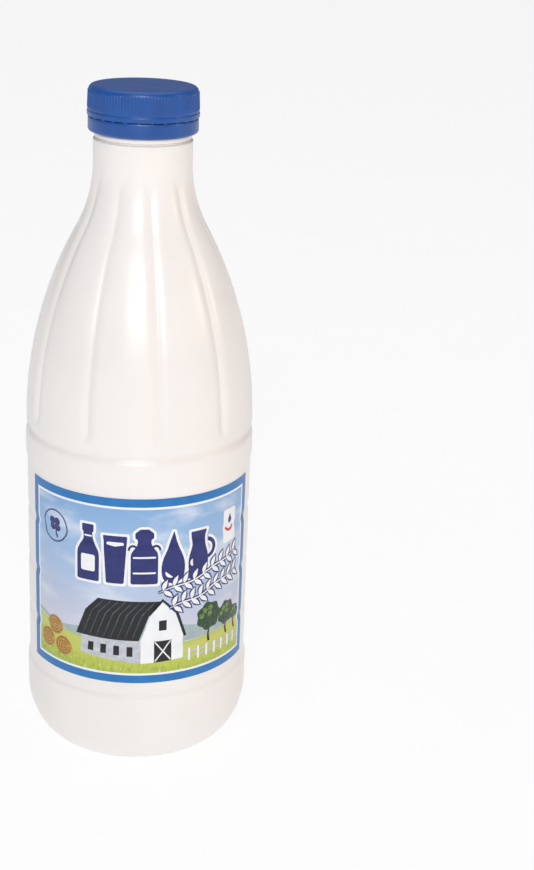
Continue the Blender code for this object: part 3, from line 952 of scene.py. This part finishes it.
def printFarm(side, azimuth):
    ridge = [(x, 60.6 + 1.6 * sin(0.09 * x + 1.0) + 0.8 * sin(0.23 * x)) for x in range(-45, 46, 3)]
    hills = [(-45.9, 52.0), (-45.9, ridge[0][1]), *ridge, (45.9, ridge[-1][1]), (45.9, 52.0)]
    meadowEdge = [(45.9, 56.0), (28.0, 54.4), (0.0, 53.6), (-28.0, 55.8), (-45.9, 59.4)]
    printOn(side, azimuth, "hill", "base", [[hills[1:-1] + meadowEdge]], "hills")
    crowns, lit, trunks = [], [], []
    for x, z, radius in ((27.2, 62.2, 5.6), (36.8, 60.4, 4.8), (42.6, 58.4, 3.0)):
        crowns.append([roundLoop(x, z, radius, 60, 7, 0.07)])
        lit += [[roundLoop(x - 0.35 * radius + 0.45 * radius * dx, z + 0.3 * radius + 0.4 * radius * dz,
                           0.2 * radius, 16, 5, 0.15)] for dx, dz in ((0, 0.4), (1, 0.7), (-0.6, -0.5), (0.9, -0.4))]
        trunks.append([[(x - 0.5, 51.6), (x + 0.6, 51.6), (x + 0.3, z - radius + 1), (x - 0.3, z - radius + 1)]])
    printOn(side, azimuth, "black", "low", trunks, "trunks")
    printOn(side, azimuth, "leaf", "middle", crowns, "crowns")
    printOn(side, azimuth, "sunlitLeaf", "high", lit, "crown_lights")
    posts = [[boxLoop(x, 45.8, x + 0.9, 51.6 - 0.03 * x, 0.2)] for x in [18.0 + 3.9 * n for n in range(7)]]
    printOn(side, azimuth, "white", "high", posts, "fence_posts")
    rails = [[boxLoop(17.2, z, 44.6, z + 0.7)] for z in (47.2, 49.4)]
    printOn(side, azimuth, "shade", "middle", rails, "fence_rails")
    bales, turns = [], []
    for x, z, radius in ((-40.4, 49.8, 4.1), (-31.8, 49.0, 4.1), (-36.1, 56.4, 4.1)):
        bales.append([roundLoop(x, z, radius, squash=0.94)])
        turns += [[strokeLoop(arcPath(x, z, r, 20, 350, 24), [0.3] * 25)] for r in (1.0, 2.1, 3.2)]
    printOn(side, azimuth, "straw", "middle", bales, "bales")
    printOn(side, azimuth, "strawShade", "high", turns, "bale_turns")


def printPanel(side, azimuth):
    # the back: a pale panel with an empty table of rules
    printOn(side, azimuth, "white", "low", [[boxLoop(-36, 60, 36, 103, 2.0)]], "panel")
    rules = [[boxLoop(-31, z, 31, z + 0.45)] for z in (66, 71.5, 77, 82.5, 88, 93.5)]
    printOn(side, azimuth, "navy", "middle", rules, "panel_rules")


paper = labelPaper()
makePaper("front_label", 0, "label_front", paper)
printFrame("front_label", 0)
printFarm("front_label", 0)
printBarn("front_label", 0)
printIcons("front_label", 0)
printSprigs("front_label", 0)
printEmblem("front_label", 0)
printTag("front_label", 0)
makePaper("back_label", 180, "label_back", paper)
printFrame("back_label", 180)
printPanel("back_label", 180)
print("labels")


# floor, light and camera

studio = {
    "floorSize": 12000.0, "floorDark": "#5f5e5e", "floorLight": "#656464", "floorGlow": 0.87,
    "worldColor": "#e9e7ea", "worldStrength": 0.28,
    "cameraPlace": (-22.2, -578.9, 335.3), "cameraTurn": 7.0, "cameraTilt": 20.1, "cameraRoll": 2.32,
    "lens": 66.72, "sensor": 36.0,
}
# each light: place, size across and up, power in watts, colour
lights = {
    "key_light": ((-90, -830, 590), (320, 420), 4.2, "#fffdfa"),
    "top_light": ((0, 200, 1500), (1500, 1500), 9.0, "#f3f6ff"),
    "side_light": ((830, -230, 420), (90, 160), 1.0, "#ffd6ad"),
}


def makeFloor():
    # a light table: it glows enough to stay evenly pale where the lamps don't reach
    half = 0.5 * studio["floorSize"]
    mesh = bpy.data.meshes.new("floor")
    corners = [(-half, -half), (half, -half), (half, half), (-half, half)]
    mesh.from_pydata([(x * mm, y * mm, -0.05 * mm) for x, y in corners], [], [(0, 1, 2, 3)])
    floor = newPiece("floor", mesh)
    material, tree, shader = newMaterial("mattStudioPaper")
    place = put(tree, "ShaderNodeTexCoord", {}).outputs["Object"]
    fibre = put(tree, "ShaderNodeTexNoise", {"Vector": place, "Scale": 1 / (60 * mm), "Detail": 4.0})
    tone = setRamp(put(tree, "ShaderNodeValToRGB", {0: fibre.outputs[0]}),
                   [(0.2, studio["floorDark"]), (0.8, studio["floorLight"])])
    tree.links.new(tone.outputs[0], shader.inputs["Base Color"])
    shader.inputs["Roughness"].default_value = 0.9
    shader.inputs["Emission Color"].default_value = (1.0, 1.0, 1.0, 1.0)
    shader.inputs["Emission Strength"].default_value = studio["floorGlow"]
    mesh.materials.append(material)


def makeLights():
    for name, (place, size, power, hexColor) in lights.items():
        light = bpy.data.lights.new(name, "AREA")
        light.shape = "RECTANGLE"
        light.size, light.size_y = (s * mm for s in size)
        light.energy = power
        light.color = linear(hexColor)[:3]
        lamp = bpy.data.objects.new(name, light)
        bpy.context.scene.collection.objects.link(lamp)
        lamp.location = Vector(place) * mm
        target = Vector((0, 0, 130)) * mm
        lamp.rotation_euler = (lamp.location - target).to_track_quat("Z", "Y").to_euler()
    world = bpy.data.worlds.new("studio")
    bpy.context.scene.world = world
    world.use_nodes = True
    back = world.node_tree.nodes["Background"]
    back.inputs["Color"].default_value = linear(studio["worldColor"])
    back.inputs["Strength"].default_value = studio["worldStrength"]


def makeCamera():
    lens = bpy.data.cameras.new("camera")
    lens.lens = studio["lens"]
    lens.sensor_width = studio["sensor"]
    lens.clip_start, lens.clip_end = 0.01, 100
    camera = bpy.data.objects.new("camera", lens)
    bpy.context.scene.collection.objects.link(camera)
    turn = Matrix.Rotation(radians(-studio["cameraTurn"]), 4, "Z")
    tilt = Matrix.Rotation(radians(90 - studio["cameraTilt"]), 4, "X")
    roll = Matrix.Rotation(radians(studio["cameraRoll"]), 4, "Z")
    camera.matrix_world = Matrix.Translation(Vector(studio["cameraPlace"]) * mm) @ turn @ tilt @ roll
    bpy.context.scene.camera = camera


makeFloor()
makeLights()
makeCamera()
bpy.context.scene.view_settings.view_transform = "Standard"
print("floor, light and camera")
